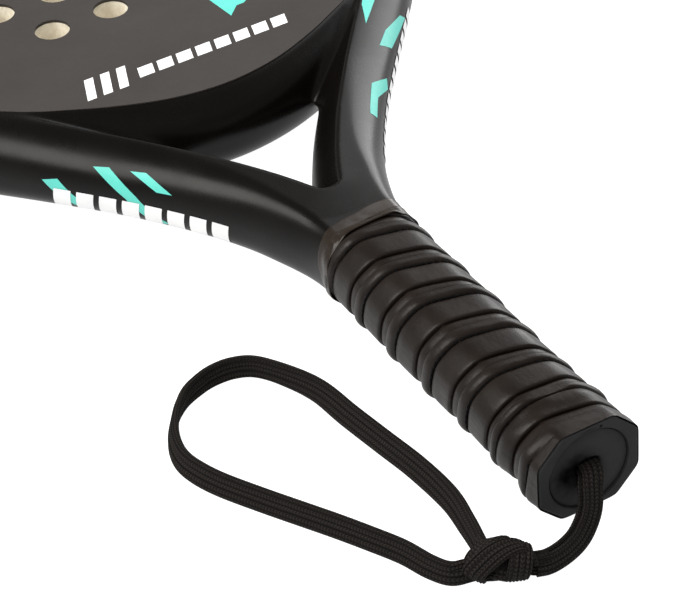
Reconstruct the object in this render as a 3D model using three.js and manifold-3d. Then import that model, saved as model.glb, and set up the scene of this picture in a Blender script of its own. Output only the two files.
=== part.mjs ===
// Padel racket with a taped grip and a wrist cord, lying face up.
// Millimetres, +Z up. The origin is under the middle of the racket, on the surface that it lies on:
// X runs across the racket, +Y runs from the butt to the tip of the head.
//
// The racket itself is drawn in its own frame, y from the butt end and z from the mid-plane, and one
// group moves it into place. The wrist cord is drawn straight in the outer frame, because it lies on
// the surface.
import * as THREE from 'three';
import { mergeVertices } from 'three/addons/utils/BufferGeometryUtils.js';
import Module from 'manifold-3d';

const wasm = await Module();
wasm.setup();

// ---------------------------------------------------------------- driving dimensions
const LENGTH = 455;
const THICKNESS = 33;
const HALF = THICKNESS / 2;
const GAP = 0.3;

// The frame thins from the head to the throat, and again into the handle.
const FULL_FROM = 250;
const THROAT_Y = 155;
const THROAT_HALF = 14.9;
const NECK_Y = 132;
const NECK_HALF = 14.2;

const HEAD_HALF_WIDTH = 128;
const HEAD_WIDEST_Y = 334;
const RIM_ROUND = 9.6;
const ROUND_STEPS = 4;

const FACE_INSET = 17;
const SKIN = 1.2;

const HOLE_RADIUS = 6.5;
const HOLE_PITCH = 24;
const HOLE_ROWS = [[294, 4], [316, 5], [338, 6], [360, 5], [382, 4], [404, 3]];
const HOLE_SIDES = 12;

const LEG_INNER_X = 1.5;
const LEG_OUTER_X = 11.5;
const LEG_HALF = 7.5;
const HANDLE_FROM = 16;
const HANDLE_TO = 125.7;
const PALLET = { halfWidth: 15.8, halfDepth: 13.9, flatX: 8.4, flatZ: 6.4 };
const SEAT_STEP = 2.0;
const CAP_SKIRT_TO = 26;
const CAP = { halfWidth: 18.5, halfDepth: 16.3, flatX: 9.8, flatZ: 7.6 };
const CAP_PLATE = 3.2;
const CAP_DISC_RADIUS = 14.6;
const CAP_DISC_DEPTH = 0.7;
const CORD_SLOT = { width: 9.4, height: 6.2 };

const GRIP = { halfWidth: 18.0, halfDepth: 15.6, flatX: 9.5, flatZ: 7.2 };
const GRIP_TO = 126;
const GRIP_PITCH = 21.6;
const GRIP_RIB = 0.6;
const TAPE_TO = 137.5;
const TAPE = { halfWidth: 18.6, halfDepth: 15.3, flatX: 11.4, flatZ: 8.2 };

const STAPLE = { crown: 10, wire: 0.9, leg: 4, y: 20 };

const CORD_WIDTH = 8;
const CORD_THICK = 2.8;
const LEAD_WIDTH = 7;
const LEAD_THICK = 4.4;

const BLACK = { color: 0x17181a, roughness: 0.38, metalness: 0 };
const MATT = { color: 0x303032, roughness: 0.62, metalness: 0 };
const FOAM = { color: 0xe9e2cf, roughness: 0.9, metalness: 0 };
const HANDLE_FOAM = { color: 0xc9b98a, roughness: 0.9, metalness: 0 };
const PLASTIC = { color: 0x2c2d2f, roughness: 0.6, metalness: 0 };
const LEATHER = { color: 0x241f1c, roughness: 0.42, metalness: 0 };
const VINYL = { color: 0x1c1613, roughness: 0.28, metalness: 0 };
const BRAID = { color: 0x141414, roughness: 0.95, metalness: 0 };
const STEEL = { color: 0xb9bcc0, roughness: 0.3, metalness: 1 };

// ---------------------------------------------------------------- helpers
function solid(geometry) {
  const bare = geometry.clone();
  bare.deleteAttribute('normal');
  bare.deleteAttribute('uv');
  const merged = mergeVertices(bare, 1e-4);
  return new wasm.Manifold(new wasm.Mesh({
    numProp: 3,
    vertProperties: Float32Array.from(merged.attributes.position.array),
    triVerts: Uint32Array.from(merged.index.array),
  }));
}

function geometryOf(manifold) {
  const mesh = manifold.getMesh();
  const geometry = new THREE.BufferGeometry();
  geometry.setAttribute('position', new THREE.BufferAttribute(mesh.vertProperties, 3));
  geometry.setIndex(new THREE.BufferAttribute(mesh.triVerts, 1));
  return geometry;
}

function named(name, geometry, look) {
  const mesh = new THREE.Mesh(geometry, new THREE.MeshStandardMaterial(look));
  mesh.name = name;
  return mesh;
}

function box(x0, x1, y0, y1, z0, z1) {
  const geometry = new THREE.BoxGeometry(x1 - x0, y1 - y0, z1 - z0);
  geometry.translate((x0 + x1) / 2, (y0 + y1) / 2, (z0 + z1) / 2);
  return solid(geometry);
}

// Half the frame's thickness at a distance y from the butt.
function halfAt(y) {
  if (y >= FULL_FROM) return HALF;
  if (y >= THROAT_Y) {
    return THREE.MathUtils.mapLinear(y, THROAT_Y, FULL_FROM, THROAT_HALF, HALF);
  }
  return Math.max(THREE.MathUtils.mapLinear(y, NECK_Y, THROAT_Y, NECK_HALF, THROAT_HALF), NECK_HALF);
}

// A flat outline made as thick as the frame is at each y, with its rims rounded by `round`.
function slab(shape, round, curveSegments = 6) {
  const geometry = new THREE.ExtrudeGeometry(shape, {
    depth: 0.02,
    curveSegments,
    bevelEnabled: round > 0,
    bevelThickness: HALF,
    bevelSize: round,
    bevelOffset: -round,
    bevelSegments: ROUND_STEPS,
  });
  geometry.translate(0, 0, -0.01);
  const position = geometry.attributes.position;
  for (let i = 0; i < position.count; i += 1) {
    const scale = halfAt(position.getY(i)) / HALF;
    position.setZ(i, position.getZ(i) * scale);
  }
  return solid(geometry);
}

// A plain prism of a flat outline between two heights.
function plate(shape, z0, z1, curveSegments = 10) {
  const geometry = new THREE.ExtrudeGeometry(shape, {
    depth: z1 - z0,
    curveSegments,
    bevelEnabled: false,
  });
  geometry.translate(0, 0, z0);
  return solid(geometry);
}

// The eight corners of a bevelled rectangle, grown outwards by `grow`, counter-clockwise from +X.
function octagon({ halfWidth, halfDepth, flatX, flatZ }, grow = 0) {
  const w = halfWidth + grow;
  const d = halfDepth + grow;
  const a = flatX + grow * 0.41;
  const b = flatZ + grow * 0.41;
  return [[w, -b], [w, b], [a, d], [-a, d], [-w, b], [-w, -b], [-a, -d], [a, -d]];
}

function shapeOf(points) {
  return new THREE.Shape(points.map(([x, y]) => new THREE.Vector2(x, y)));
}

// A prism along y of an outline drawn in x and z.
function alongY(points, y0, y1) {
  const geometry = new THREE.ExtrudeGeometry(shapeOf(points), { depth: y1 - y0, bevelEnabled: false });
  geometry.rotateX(Math.PI / 2);
  geometry.translate(0, y1, 0);
  return solid(geometry);
}

// A closed body through rings of equal point count; each ring lists [x, y, z] corners.
function loft(rings) {
  const count = rings[0].length;
  const positions = rings.flat(2);
  const index = [];
  for (let r = 0; r < rings.length - 1; r += 1) {
    for (let i = 0; i < count; i += 1) {
      const j = (i + 1) % count;
      const a = r * count + i;
      const b = r * count + j;
      index.push(a, a + count, b, b, a + count, b + count);
    }
  }
  const last = (rings.length - 1) * count;
  for (let i = 1; i < count - 1; i += 1) {
    index.push(0, i, i + 1);
    index.push(last, last + i + 1, last + i);
  }
  const geometry = new THREE.BufferGeometry();
  geometry.setAttribute('position', new THREE.Float32BufferAttribute(positions, 3));
  geometry.setIndex(index);
  return solid(geometry);
}

// ---------------------------------------------------------------- outlines of the frame
// Outermost line of the frame. It starts below the neck, where frameWithBridge cuts it off square.
function frameOutline() {
  const arm = [[18.6, 138], [24.2, 156], [32.8, 174], [49.8, 200], [75, 232], [88, 248]];
  const half = new THREE.Path();
  half.moveTo(17.4, 90);
  half.lineTo(17.4, 120);
  half.splineThru(arm.map(([x, y]) => new THREE.Vector2(x, y)));
  half.bezierCurveTo(111, 276.5, HEAD_HALF_WIDTH, HEAD_WIDEST_Y - 32, HEAD_HALF_WIDTH, HEAD_WIDEST_Y);
  const rise = LENGTH - HEAD_WIDEST_Y;
  half.absellipse(0, HEAD_WIDEST_Y, HEAD_HALF_WIDTH, rise, 0, Math.PI / 2, false, 0);
  const right = half.getPoints(7).slice(0, -1);
  const left = right.slice().reverse().map((p) => new THREE.Vector2(-p.x, p.y));
  return new THREE.Shape([...right, new THREE.Vector2(0, LENGTH), ...left]);
}

// The opening of the throat at the mid-plane, where its walls come closest together.
function throatOutline() {
  const side = [[3.6, 171], [13, 189], [23.5, 205.6], [33.4, 219]];
  const outline = new THREE.Path();
  outline.moveTo(0, 167.4);
  outline.splineThru(side.map(([x, y]) => new THREE.Vector2(x, y)));
  outline.quadraticCurveTo(39, 226, 30, 221.5);
  outline.quadraticCurveTo(14, 214.8, 0, 214.8);
  const right = outline.getPoints(3);
  const left = right.slice(1, -1).reverse().map((p) => new THREE.Vector2(-p.x, p.y));
  return new THREE.Path([...right, ...left]);
}

// The outline of the playing face, inside the frame, grown outwards by `grow`.
function faceOutline(grow = 0) {
  const halfWidth = HEAD_HALF_WIDTH - FACE_INSET + grow;
  const top = LENGTH - FACE_INSET - HEAD_WIDEST_Y + grow;
  const half = new THREE.Path();
  half.moveTo(0, 232 - grow);
  half.bezierCurveTo(36, 232 - grow, 62, 245 - grow, 78 + grow * 0.7, 262 - grow * 0.7);
  half.bezierCurveTo(98 + grow, 283, halfWidth, HEAD_WIDEST_Y - 28, halfWidth, HEAD_WIDEST_Y);
  half.absellipse(0, HEAD_WIDEST_Y, halfWidth, top, 0, Math.PI / 2, false, 0);
  const right = half.getPoints(7).slice(0, -1);
  const left = right.slice(1).reverse().map((p) => new THREE.Vector2(-p.x, p.y));
  return new THREE.Shape([...right, new THREE.Vector2(0, HEAD_WIDEST_Y + top), ...left]);
}

// Round holes in staggered rows, each row centred on the racket.
function drilled(shape) {
  for (const [y, count] of HOLE_ROWS) {
    for (let i = 0; i < count; i += 1) {
      const x = (i - (count - 1) / 2) * HOLE_PITCH;
      const corners = [];
      for (let k = 0; k < HOLE_SIDES; k += 1) {
        const angle = (-2 * Math.PI * k) / HOLE_SIDES;
        corners.push(new THREE.Vector2(x + HOLE_RADIUS * Math.cos(angle), y + HOLE_RADIUS * Math.sin(angle)));
      }
      shape.holes.push(new THREE.Path(corners));
    }
  }
  return shape;
}

// ---------------------------------------------------------------- frame, bridge and head
function frameWithBridge() {
  const outline = frameOutline();
  outline.holes.push(throatOutline());
  const body = slab(outline, RIM_ROUND);
  const pocket = plate(faceOutline(GAP), -THICKNESS, THICKNESS);
  const cutOff = box(-40, 40, 0, HANDLE_TO + GAP, -THICKNESS, THICKNESS);
  return body.subtract(pocket).subtract(cutOff);
}

// A block around the bridge, whose slanting sides part it from the arms; `grow` widens the cut.
function bridgeRegion(grow) {
  const half = [[0, 209 - grow], [24, 211.5 - grow], [34.6 + grow, 222.6 - grow], [58 + grow, 247 - grow],
    [58 + grow, 262]];
  const left = half.slice(1).reverse().map(([x, y]) => [-x, y]);
  return plate(shapeOf([...half, ...left]), -THICKNESS, THICKNESS);
}

function frameTube(ring) {
  const hoop = ring.subtract(bridgeRegion(GAP));
  const legs = [-1, 1].map((side) => {
    const x0 = side < 0 ? -LEG_OUTER_X : LEG_INNER_X;
    return box(x0, x0 + LEG_OUTER_X - LEG_INNER_X, HANDLE_FROM, NECK_Y, -LEG_HALF, LEG_HALF);
  });
  return hoop.add(legs[0]).add(legs[1]);
}

function evaCore() {
  return plate(drilled(faceOutline()), -HALF + SKIN + GAP, HALF - SKIN - GAP);
}

function faceSkin(side) {
  const z = side * (HALF - SKIN / 2);
  return plate(drilled(faceOutline()), z - SKIN / 2, z + SKIN / 2);
}

// ---------------------------------------------------------------- handle
// One half of the moulded handle, with a channel for the two legs of the frame.
function pallet(side) {
  const body = alongY(octagon(PALLET), HANDLE_FROM, HANDLE_TO);
  const seatRing = alongY(octagon(PALLET, 4), HANDLE_FROM - 1, CAP_SKIRT_TO + GAP)
    .subtract(alongY(octagon(PALLET, -SEAT_STEP), HANDLE_FROM - 2, CAP_SKIRT_TO + 1));
  const legs = box(-LEG_OUTER_X - GAP, LEG_OUTER_X + GAP, 0, NECK_Y, -LEG_HALF - GAP, LEG_HALF + GAP);
  const keep = side > 0 ? box(-40, 40, 0, 200, GAP / 2, 40) : box(-40, 40, 0, 200, -40, -GAP / 2);
  return body.subtract(seatRing).subtract(legs).intersect(keep).subtract(staples(GAP));
}

// A plastic cup over the end of the handle, with a flared end plate.
function buttCap() {
  const plateBody = loft([
    octagon(CAP, -0.9).map(([x, z]) => [x, 0, z]),
    octagon(CAP).map(([x, z]) => [x, 0.9, z]),
    octagon(CAP).map(([x, z]) => [x, CAP_PLATE, z]),
  ]);
  const skirt = alongY(octagon(PALLET), CAP_PLATE - 1, CAP_SKIRT_TO);
  const inside = alongY(octagon(PALLET, -SEAT_STEP + GAP), CAP_PLATE, CAP_SKIRT_TO + 1);
  const disc = new THREE.CylinderGeometry(CAP_DISC_RADIUS, CAP_DISC_RADIUS, 2 * CAP_DISC_DEPTH, 32);
  const slot = box(-CORD_SLOT.width / 2, CORD_SLOT.width / 2, -1, CAP_PLATE + 1,
    -CORD_SLOT.height / 2, CORD_SLOT.height / 2);
  return plateBody.add(skirt).subtract(inside).subtract(solid(disc)).subtract(slot)
    .subtract(staples(GAP));
}

// Two wire staples, one in each side, that pin the cap's skirt to the handle.
function staples(grow) {
  return staple(-1, grow).add(staple(1, grow));
}

function staple(side, grow = 0) {
  const { crown, wire, leg, y } = STAPLE;
  const outside = PALLET.halfWidth + 0.1;
  const strip = (x0, x1, z0, z1) => {
    const low = Math.min(side * x0, side * x1);
    const high = Math.max(side * x0, side * x1);
    return box(low - grow, high + grow, y - wire / 2 - grow, y + wire / 2 + grow, z0 - grow, z1 + grow);
  };
  const bar = strip(outside - wire, outside, -crown / 2, crown / 2);
  const upper = strip(outside - leg, outside, crown / 2 - wire, crown / 2);
  const lower = strip(outside - leg, outside, -crown / 2, -crown / 2 + wire);
  return bar.add(upper).add(lower);
}

// The wound grip as one sleeve, with a rib at every turn and a flare at the butt.
function gripWrap() {
  const start = CAP_PLATE + GAP;
  const rings = [];
  for (let y = start; y <= GRIP_TO + 0.01; y += (GRIP_TO - start) / 24) {
    const turn = Math.cos((2 * Math.PI * (y - 12)) / GRIP_PITCH);
    const rib = GRIP_RIB * Math.max(0, turn) ** 3;
    const thin = 0.7 * THREE.MathUtils.smoothstep(y, 90, GRIP_TO);
    rings.push(octagon(GRIP, rib - thin).map(([x, z]) => [x, y, z]));
  }
  const outside = loft(rings);
  return outside.subtract(alongY(octagon(PALLET, GAP), start - 1, GRIP_TO + 1));
}

// The tape that finishes the grip: a tapering sleeve round the neck, clear of it by a gap.
function finishingTape(frame) {
  const outside = loft([
    octagon(TAPE).map(([x, z]) => [x, GRIP_TO + GAP, z]),
    octagon(TAPE, 0.5).map(([x, z]) => [x, GRIP_TO + 3, z]),
    octagon(TAPE, 1.1).map(([x, z]) => [x, TAPE_TO, z]),
  ]);
  const around = [[0, 0, 0], [-GAP, 0, 0], [GAP, 0, 0], [0, 0, -GAP], [0, 0, GAP]];
  const body = around.reduce((rest, offset) => rest.subtract(frame.translate(offset)), outside);
  return largest(body);
}

function largest(manifold) {
  const pieces = manifold.decompose();
  return pieces.reduce((best, piece) => (piece.volume() > best.volume() ? piece : best));
}

// ---------------------------------------------------------------- wrist cord
// A strip's cross-section with eight corners; the first size is the one that stands upright.
function cordSection(upright, flat) {
  const points = [];
  for (let i = 0; i < 8; i += 1) {
    const angle = (Math.PI / 4) * (i + 0.5);
    points.push(new THREE.Vector2((upright / 2) * Math.cos(angle) * 1.08, (flat / 2) * Math.sin(angle) * 1.08));
  }
  return new THREE.Shape(points);
}

function cordAlong(route, section, steps) {
  const curve = new THREE.CatmullRomCurve3(route.map(([x, y, z]) => new THREE.Vector3(x, y, z)));
  return new THREE.ExtrudeGeometry(section, { steps, bevelEnabled: false, extrudePath: curve });
}

// From the stop knot out of the cap, down to the surface and across to the loop's knot.
const LEAD_ROUTE = [
  [0, -223.2, 16.5], [0, -226, 16.5], [-0.5, -228.6, 16.6], [-1.6, -230.6, 16.2], [-3.2, -232.6, 14.6],
  [-4.4, -234.4, 11.8], [-6.0, -236, 8.6], [-9.2, -237.9, 5.4], [-13.8, -240.2, 3.9],
  [-19.8, -242.2, 3.7], [-25.6, -243.0, 3.9], [-30, -242.4, 4.6],
];

// From the loop's knot along the surface, round the far bend and back.
const LOOP_ROUTE = [
  [-40.4, -232.0, 4.8], [-39.0, -225.6, 4.4], [-37.2, -216.1, 4.3], [-35.4, -203.2, 4.3],
  [-36.2, -186, 4.3], [-38.6, -169, 4.3], [-41.0, -152, 4.3], [-42.9, -136, 4.3],
  [-47.5, -123.6, 4.3], [-53.6, -113.6, 4.3], [-60.4, -109.8, 4.3], [-67.8, -109.4, 4.3],
  [-74.4, -111.2, 4.3], [-80.4, -114.2, 4.3], [-86.3, -119.7, 4.3], [-91.0, -126.4, 4.3],
  [-94.2, -134, 4.3], [-95.2, -141.5, 4.3], [-93.6, -149.5, 4.3], [-90.0, -158.5, 4.3],
  [-82.8, -172, 4.3], [-76.6, -183, 4.3], [-70.5, -193.8, 4.3], [-64.8, -204.6, 4.3],
  [-59.6, -215.2, 4.3], [-56.2, -225.4, 4.3], [-52.6, -231.6, 4.5], [-46.6, -234.0, 4.9],
];

const KNOT = { at: [-37.0, -237.6, 6.3], half: [10, 7, 6.1], turn: -0.61 };
const STOP_KNOT = { at: [0, 8.4, 0], half: [7.6, 3.6, 6.4] };

function ballKnot({ half, turn = 0 }) {
  const geometry = new THREE.SphereGeometry(1, 14, 9);
  geometry.scale(...half);
  geometry.rotateZ(turn);
  return solid(geometry);
}

function looseKnot(cuts) {
  let body = ballKnot(KNOT).translate(KNOT.at);
  for (const cut of cuts) body = body.subtract(cut);
  return body;
}

// ---------------------------------------------------------------- assembly
const ring = frameWithBridge();
const frame = frameTube(ring);
const bridge = largest(ring.intersect(bridgeRegion(0)));

const racket = new THREE.Group();
racket.position.set(0, -LENGTH / 2, HALF);
racket.add(
  named('frame_tube', geometryOf(largest(frame)), BLACK),
  named('throat_bridge', geometryOf(bridge), BLACK),
  named('eva_core', geometryOf(evaCore()), FOAM),
  named('front_face', geometryOf(faceSkin(1)), MATT),
  named('rear_face', geometryOf(faceSkin(-1)), MATT),
  named('handle_pallet_front', geometryOf(pallet(1)), HANDLE_FOAM),
  named('handle_pallet_rear', geometryOf(pallet(-1)), HANDLE_FOAM),
  named('butt_cap', geometryOf(buttCap()), PLASTIC),
  named('cap_staple_left', geometryOf(staple(-1)), STEEL),
  named('cap_staple_right', geometryOf(staple(1)), STEEL),
  named('grip_wrap', geometryOf(gripWrap()), LEATHER),
  named('finishing_tape', geometryOf(finishingTape(frame)), VINYL),
);

const stopKnot = named('cord_stop_knot', geometryOf(ballKnot(STOP_KNOT)), BRAID);
stopKnot.position.set(...STOP_KNOT.at);
racket.add(stopKnot);

const leadSection = cordSection(LEAD_THICK, LEAD_WIDTH);
const loopSection = cordSection(CORD_WIDTH, CORD_THICK);
const lead = cordAlong(LEAD_ROUTE, leadSection, 12);
const loop = cordAlong(LOOP_ROUTE, loopSection, 44);
const looseLead = solid(cordAlong(LEAD_ROUTE, cordSection(LEAD_THICK + 2 * GAP, LEAD_WIDTH + 2 * GAP), 12));
const looseLoop = solid(cordAlong(LOOP_ROUTE, cordSection(CORD_WIDTH + 2 * GAP, CORD_THICK + 2 * GAP), 44));

const assembly = new THREE.Group();
assembly.add(
  racket,
  named('cord_lead', lead, BRAID),
  named('cord_loop', loop, BRAID),
  named('cord_knot', geometryOf(largest(looseKnot([looseLead, looseLoop]))), BRAID),
);

export default assembly;
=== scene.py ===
"""Padel racket, face up, with a wound grip and a wrist cord: the visual model on its CAD frame.

Shapes are drawn in millimetres in the racket's own frame: x across, y from the butt end, z from the
mid-plane. row() moves them to the row frame, in metres. The wrist cord is drawn in the row frame.
"""
import math

import bpy
import numpy as np
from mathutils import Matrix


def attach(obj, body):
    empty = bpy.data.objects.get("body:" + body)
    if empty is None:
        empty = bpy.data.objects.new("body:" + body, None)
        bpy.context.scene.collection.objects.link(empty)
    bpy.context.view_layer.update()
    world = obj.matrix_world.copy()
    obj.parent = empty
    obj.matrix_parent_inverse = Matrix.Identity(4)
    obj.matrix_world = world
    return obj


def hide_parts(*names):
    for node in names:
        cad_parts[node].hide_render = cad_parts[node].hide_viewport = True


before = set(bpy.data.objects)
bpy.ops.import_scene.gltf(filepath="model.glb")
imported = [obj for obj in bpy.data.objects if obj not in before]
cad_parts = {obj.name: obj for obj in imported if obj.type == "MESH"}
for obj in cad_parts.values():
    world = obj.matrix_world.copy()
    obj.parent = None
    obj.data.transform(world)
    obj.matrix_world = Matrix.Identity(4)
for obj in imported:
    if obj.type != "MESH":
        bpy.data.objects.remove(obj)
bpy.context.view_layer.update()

import openvdb
from mathutils import Matrix, Vector
from mathutils.bvhtree import BVHTree

# ---------------------------------------------------------------- driving dimensions, mm
LENGTH = 455.0
HALF = 16.5
SKIN_PROUD = 0.2
SKIN = 1.2

FULL_FROM = 250.0
THROAT_Y = 155.0
THROAT_HALF = 14.9
NECK_Y = 132.0
NECK_HALF = 14.2

# How wide the arm's outer rounding is, at distances from the butt.
OUTER_ROUND = [(132, 6.0), (158, 8.5), (182, 12.0), (215, 15.0)]
ARM_CROWN = 0.06
CROWN_FADE = (225, 262)
ARM_BULGE = 9.6
BRIDGE_BULGE = 11.3
VALLEY_FILLET = (3.0, 9.0)
ARM_FROM = 126.0
FIELD_STEP = 0.65
FIELD_HALF_WIDTH = 132.0
FIELD_LENGTH = (124, 459)
FIELD_HALF_DEPTH = 19.2
FIELD_BAND = 3.0

# Right halves of the outlines. The outermost one is at mid-height, the other two on the top plane.
NECK_LINE = [(17.4, 90), (17.4, 120)]
ARM_LINE = [(17.4, 120), (18.6, 138), (24.2, 156), (32.8, 174), (49.8, 200), (75, 232), (88, 248)]
HEAD_CURVE = [(88, 248), (111, 276.5), (128, 302), (128, 334)]
HEAD_WIDEST_Y = 334.0
HEAD_HALF_WIDTH = 128.0
RIDGE_LINE = [(-3.6, 154.2), (0, 153.2), (3.6, 154.2), (5.4, 157), (9.3, 165), (15.5, 176), (25.7, 192),
              (43.1, 216), (61.8, 240), (79, 262), (100, 300), (112, 340)]
BRIDGE_LINE = [(-20, 228.7), (0, 225.95), (20, 228.7), (40, 236.4), (60, 247.2)]
FACE_CURVE = [(60, 247.2), (84, 261), (116, 300), (116, 334)]
FACE_HALF_WIDTH = 116.0
FACE_TOP = 443.0
POCKET_INSET = 4.0
CORE_INSET = 6.0
CORE_GAP = 0.05
SKIN_BEVEL = 0.15
CORE_BEVEL = 0.02

HOLE_RADIUS = 6.5
HOLE_PITCH = 24.0
HOLE_ROWS = [(294, 4), (316, 5), (338, 6), (360, 5), (382, 4), (404, 3)]
HOLE_SIDES = 48

# Printed chips: four corners each. On the face they are x and y; on an arm, the distance along it
# and the angle above its outermost line, in degrees.
FACE_CHIPS = [
    [(19, 292), (31, 284), (27, 268), (22, 263)],
    [(31, 284), (36, 272), (30, 268), (27, 268)],
]
ARM_CHIPS = {
    "left": [
        [(137, 47), (131, 50), (120, 12), (124, 4)],
        [(124, 4), (120, 12), (109, -40), (114, -50)],
        [(123, 50), (117, 52), (106, 27), (112, 26)],
        [(156, 12), (150, 18), (139, -34), (144, -44)],
    ],
    "right": [
        [(176, 98), (173, 78), (149, 84), (160, 95)],
        [(141, 56), (152, 52), (160, 20), (146, 30)],
        [(152, 52), (168, 30), (172, 12), (160, 20)],
        [(117, 56), (99, 54), (100, 38), (112, 40)],
        [(117, 56), (112, 40), (124, 16), (128, 26)],
    ],
}
# Rows of slanted bars: start, count, width, gap, rise and lean, in the same measures.
FACE_BARS = [((-24, 246.7), 8, 6.0, 1.8, 6.0, 1.8), ((-46, 244.5), 3, 3.6, 2.8, 12.5, 4.6)]
ARM_BARS = {
    "left": ((86, -50), 8, 6.6, 2.2, 50, -2.5),
    "right": ((88, -30), 12, 6.0, 2.0, 42, -2.5),
}
FACE_INK_PROUD = 0.03
CHIP_PROUD = 0.08
BAR_PROUD = 0.22
ARM_MIDDLE = 12.5           # from an arm's outline in to its middle

GRIP = dict(half_width=17.5, half_depth=15.2, flat_x=9.2, flat_z=7.0)
GRIP_BUTT = dict(half_width=18.55, half_depth=16.4, flat_x=9.9, flat_z=7.7)
GRIP_FROM = 0.6
GRIP_TO = 129.0
# Where the lower edge of the strip lies, at each turn round the handle from +X over the top. It was
# wound by hand, so its turns are not evenly spaced.
STRIP_EDGE = [
    (-1.9, -30), (-0.9, -11), (-0.43, -3), (0.1, 9), (0.21, 10.4), (0.34, 12.8), (0.48, 15.4),
    (0.57, 17.8), (1.1, 25.2), (1.23, 25.8), (1.33, 26.4), (1.44, 28.6), (1.57, 32.4), (2.1, 41.5),
    (2.25, 45.5), (2.4, 48.4), (2.57, 53), (3.15, 64), (3.31, 68.6), (3.4, 69.8), (3.57, 74),
    (4.1, 82.6), (4.26, 88.6), (4.4, 91.2), (4.57, 95.8), (5.1, 103.6), (5.26, 107.8), (5.42, 111.4),
    (5.57, 115.4), (6.23, 128.5), (6.41, 131.5), (7.4, 152), (9, 185),
]
STRIP_TURNS = (-1.3, 6.3)
STRIP_STEPS = 240
TURN_LENGTH = 106.0         # once round the handle
STITCH_PITCH = 2.4
STITCH_TURNS = (-0.55, 5.4)
STITCH_PART = 0.458         # where the seam lies, as a fraction of the strip's width
GRIP_LIMIT = dict(half_width=19.6, half_depth=16.45, flat_x=10.4, flat_z=8.0)
LEATHER_THICK = 0.55
PALLET = dict(half_width=15.8, half_depth=13.9, flat_x=8.4, flat_z=6.4)

TAPE_FROM = 126.3
TAPE_TO = 134.3
TAPE_SLANT = 3.6
TAPE_THICK = 0.32
TAPE_LAYER = 0.22

CAP = dict(half_width=18.35, half_depth=16.2, flat_x=9.75, flat_z=7.55)
CAP_PLATE = 3.2
CAP_GAP = 0.35              # between the plate and the leather that wraps it
CAP_DISC_RADIUS = 14.6
CAP_DISC_DEPTH = 0.7
CORD_HOLE = (4.5, 3.0)
GATE_MARK_AT = (4.3, 15.0)
GATE_MARK_RADIUS = 0.5

CORD_WIDTH = 8.0
CORD_THICK = 2.8
LEAD_WIDTH = 7.0
LEAD_THICK = 2.1
CORD_RIBS = 7
RIB_WIDTH = 1.15
KNOT_BRAID = (7.4, 2.4)
LOOP_STEP = 0.8
LEAD_STEP = 0.6
KNOT_STEP = 0.5

# The wrist cord's routes, in metres, in the row frame.
LEAD_ROUTE = [
    (0, -0.2232, 0.0165), (0, -0.226, 0.0165), (-0.0005, -0.2286, 0.0166), (-0.0016, -0.2306, 0.0162),
    (-0.0032, -0.2326, 0.0146), (-0.0044, -0.2344, 0.0118), (-0.006, -0.236, 0.0086),
    (-0.0092, -0.2379, 0.0054), (-0.0138, -0.2402, 0.0039), (-0.0198, -0.2422, 0.0037),
    (-0.0256, -0.243, 0.0039), (-0.03, -0.2424, 0.0046),
]
LOOP_ROUTE = [
    (-0.0404, -0.232, 0.0048), (-0.039, -0.2256, 0.0044), (-0.0372, -0.2161, 0.0043),
    (-0.0354, -0.2032, 0.0043), (-0.0362, -0.186, 0.0043), (-0.0386, -0.169, 0.0043),
    (-0.041, -0.152, 0.0043), (-0.0429, -0.136, 0.0043), (-0.0475, -0.1236, 0.0043),
    (-0.0536, -0.1136, 0.0043), (-0.0604, -0.1098, 0.0043), (-0.0678, -0.1094, 0.0043),
    (-0.0744, -0.1112, 0.0043), (-0.0804, -0.1142, 0.0043), (-0.0863, -0.1197, 0.0043),
    (-0.091, -0.1264, 0.0043), (-0.0942, -0.134, 0.0043), (-0.0952, -0.1415, 0.0043),
    (-0.0936, -0.1495, 0.0043), (-0.09, -0.1585, 0.0043), (-0.0828, -0.172, 0.0043),
    (-0.0766, -0.183, 0.0043), (-0.0705, -0.1938, 0.0043), (-0.0648, -0.2046, 0.0043),
    (-0.0596, -0.2152, 0.0043), (-0.0562, -0.2254, 0.0043), (-0.0526, -0.2316, 0.0045),
    (-0.0466, -0.234, 0.0049),
]
KNOT_AT = (-37.0, -237.6, 6.3)
KNOT_TURN = -0.61

# Bands of the knot, in millimetres from its middle, with x along it towards the cap.
KNOT_BANDS = [
    [(7.2, 0.8, -1.4), (6.6, 1.6, 2.2), (3.6, 1.2, 4.7), (-0.2, -0.8, 5.5), (-4.0, -3.3, 4.9),
     (-7.6, -5.2, 2.6), (-9.8, -5.4, -0.4), (-9.0, -3.8, -3.6)],
    [(-1.2, 4.4, -3.6), (-1.4, 5.9, -0.4), (-2.6, 5.2, 3.0), (-5.0, 2.6, 4.5), (-7.6, -0.4, 3.8),
     (-9.6, -3.2, 1.4), (-9.4, -4.6, -2.4)],
    [(2.6, -1.6, -4.4), (3.2, -4.2, -3.2), (4.0, -5.2, 0.2), (4.6, -3.4, 3.5), (4.4, 0.6, 4.4),
     (3.6, 4.0, 2.9), (2.8, 5.2, -0.4), (2.6, 3.6, -3.6), (2.6, 0.6, -4.6)],
]

CAMERA_AT = (-0.3605, -0.76625, 0.60036)
CAMERA_TURN = (27.752, 38.426, -4.661)
CAMERA_LENS = 147.38

# Brightness of the surroundings at heights from straight down, -1, to overhead, 1.
SKY = [
    (-1.0, 0.4), (1.0, 0.12), (-0.6, 0.8), (-0.15, 0.55), (0.0, 0.45), (0.16, 0.3), (0.45, 0.12),
    (0.62, 0.22),
]
SUN_POWER = 4.4
SUN_SPREAD = 100
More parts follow.
